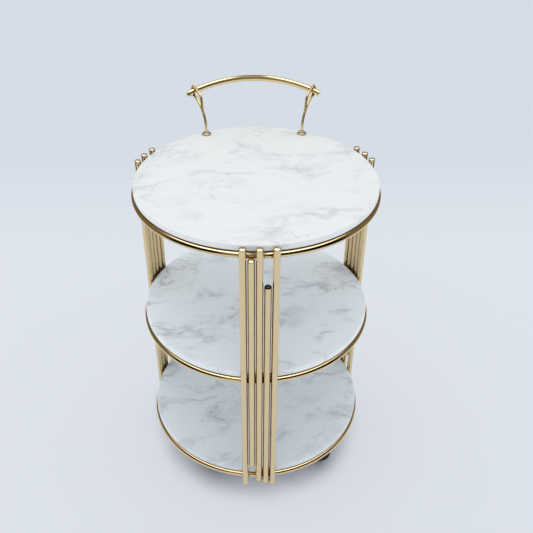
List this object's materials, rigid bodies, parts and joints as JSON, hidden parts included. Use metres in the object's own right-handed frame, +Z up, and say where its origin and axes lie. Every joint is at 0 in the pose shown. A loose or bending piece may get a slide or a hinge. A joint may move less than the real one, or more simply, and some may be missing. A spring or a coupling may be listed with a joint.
{
  "type": "tea trolley",
  "caption": "Round tiered tea trolley: white marble discs on gold bar hoops, joined by clusters of upright gold tubes, with an arched push handle and small swivel casters.",
  "frame": {"origin": "on the floor under the tyres, at the centre of the trolley's box in plan", "axes": "+Z is up. -Y is the front, where the middle cluster of upright tubes stands, and +Y is the side with the handle. +X is the trolley's right seen from the front. The hoops' axis stands 6.86 mm towards -Y of the origin, because the handle reaches further out than the tubes."},
  "size_m": [0.4532, 0.4879, 0.7175],
  "materials": {
    "polished_gold": "polished, pale champagne gold",
    "satin_gold": "satin gold",
    "white_marble": "honed white marble with soft grey veins",
    "zinc_steel": "zinc plated",
    "clear_rubber": "clear soft pad",
    "black_steel": "satin black",
    "black_nylon": "moulded black",
    "black_rubber": "matt black"
  },
  "bodies": {
    "trolley_frame": {"bottom_hoop": "polished_gold", "middle_hoop": "polished_gold", "top_hoop": "polished_gold", "bottom_disc": "white_marble", "middle_disc": "white_marble", "top_disc": "white_marble", "bottom_tabs": "satin_gold", "middle_tabs": "satin_gold", "top_tabs": "satin_gold", "tab_screws": "zinc_steel", "disc_pads": "clear_rubber", "front_rod_1": "polished_gold", "front_rod_2": "polished_gold", "front_rod_3": "polished_gold", "front_rod_4": "polished_gold", "front_rod_5": "polished_gold", "front_rod_caps": "polished_gold", "right_rod_1": "polished_gold", "right_rod_2": "polished_gold", "right_rod_3": "polished_gold", "right_rod_4": "polished_gold", "right_rod_5": "polished_gold", "right_rod_caps": "polished_gold", "left_rod_1": "polished_gold", "left_rod_2": "polished_gold", "left_rod_3": "polished_gold", "left_rod_4": "polished_gold", "left_rod_5": "polished_gold", "left_rod_caps": "polished_gold", "short_rod_plugs": "black_nylon", "handle_bar": "polished_gold", "handle_bar_caps": "polished_gold", "handle_support_right": "polished_gold", "handle_support_left": "polished_gold", "handle_flanges": "polished_gold", "handle_nuts": "zinc_steel", "caster_brackets": "satin_gold", "caster_nuts": "zinc_steel", "swivel_washers": "zinc_steel", "stem_front_right": "zinc_steel", "stem_front_left": "zinc_steel", "stem_rear_right": "zinc_steel", "stem_rear_left": "zinc_steel"},
    "swivel_front_right": {"fork_front_right": "black_steel", "axle_front_right": "zinc_steel"},
    "wheel_front_right": {"core_front_right": "black_nylon", "tyre_front_right": "black_rubber"},
    "swivel_front_left": {"fork_front_left": "black_steel", "axle_front_left": "zinc_steel"},
    "wheel_front_left": {"core_front_left": "black_nylon", "tyre_front_left": "black_rubber"},
    "swivel_rear_right": {"fork_rear_right": "black_steel", "axle_rear_right": "zinc_steel"},
    "wheel_rear_right": {"core_rear_right": "black_nylon", "tyre_rear_right": "black_rubber"},
    "swivel_rear_left": {"fork_rear_left": "black_steel", "axle_rear_left": "zinc_steel"},
    "wheel_rear_left": {"core_rear_left": "black_nylon", "tyre_rear_left": "black_rubber"}
  },
  "joints": [
    {"name": "swivel_turn_front_right", "type": "hinge", "parent": "trolley_frame", "child": "swivel_front_right", "pos_m": [0.11349, -0.13741, 0.0535], "axis": [0, 0, 1], "continuous": true},
    {"name": "wheel_roll_front_right", "type": "hinge", "parent": "swivel_front_right", "child": "wheel_front_right", "pos_m": [0.13149, -0.13741, 0.024], "axis": [0, 1, 0], "continuous": true},
    {"name": "swivel_turn_front_left", "type": "hinge", "parent": "trolley_frame", "child": "swivel_front_left", "pos_m": [-0.11349, -0.13741, 0.0535], "axis": [0, 0, 1], "continuous": true},
    {"name": "wheel_roll_front_left", "type": "hinge", "parent": "swivel_front_left", "child": "wheel_front_left", "pos_m": [-0.09549, -0.13741, 0.024], "axis": [0, 1, 0], "continuous": true},
    {"name": "swivel_turn_rear_right", "type": "hinge", "parent": "trolley_frame", "child": "swivel_rear_right", "pos_m": [0.11349, 0.12369, 0.0535], "axis": [0, 0, 1], "continuous": true},
    {"name": "wheel_roll_rear_right", "type": "hinge", "parent": "swivel_rear_right", "child": "wheel_rear_right", "pos_m": [0.13149, 0.12369, 0.024], "axis": [0, 1, 0], "continuous": true},
    {"name": "swivel_turn_rear_left", "type": "hinge", "parent": "trolley_frame", "child": "swivel_rear_left", "pos_m": [-0.11349, 0.12369, 0.0535], "axis": [0, 0, 1], "continuous": true},
    {"name": "wheel_roll_rear_left", "type": "hinge", "parent": "swivel_rear_left", "child": "wheel_rear_left", "pos_m": [-0.09549, 0.12369, 0.024], "axis": [0, 1, 0], "continuous": true}
  ]
}
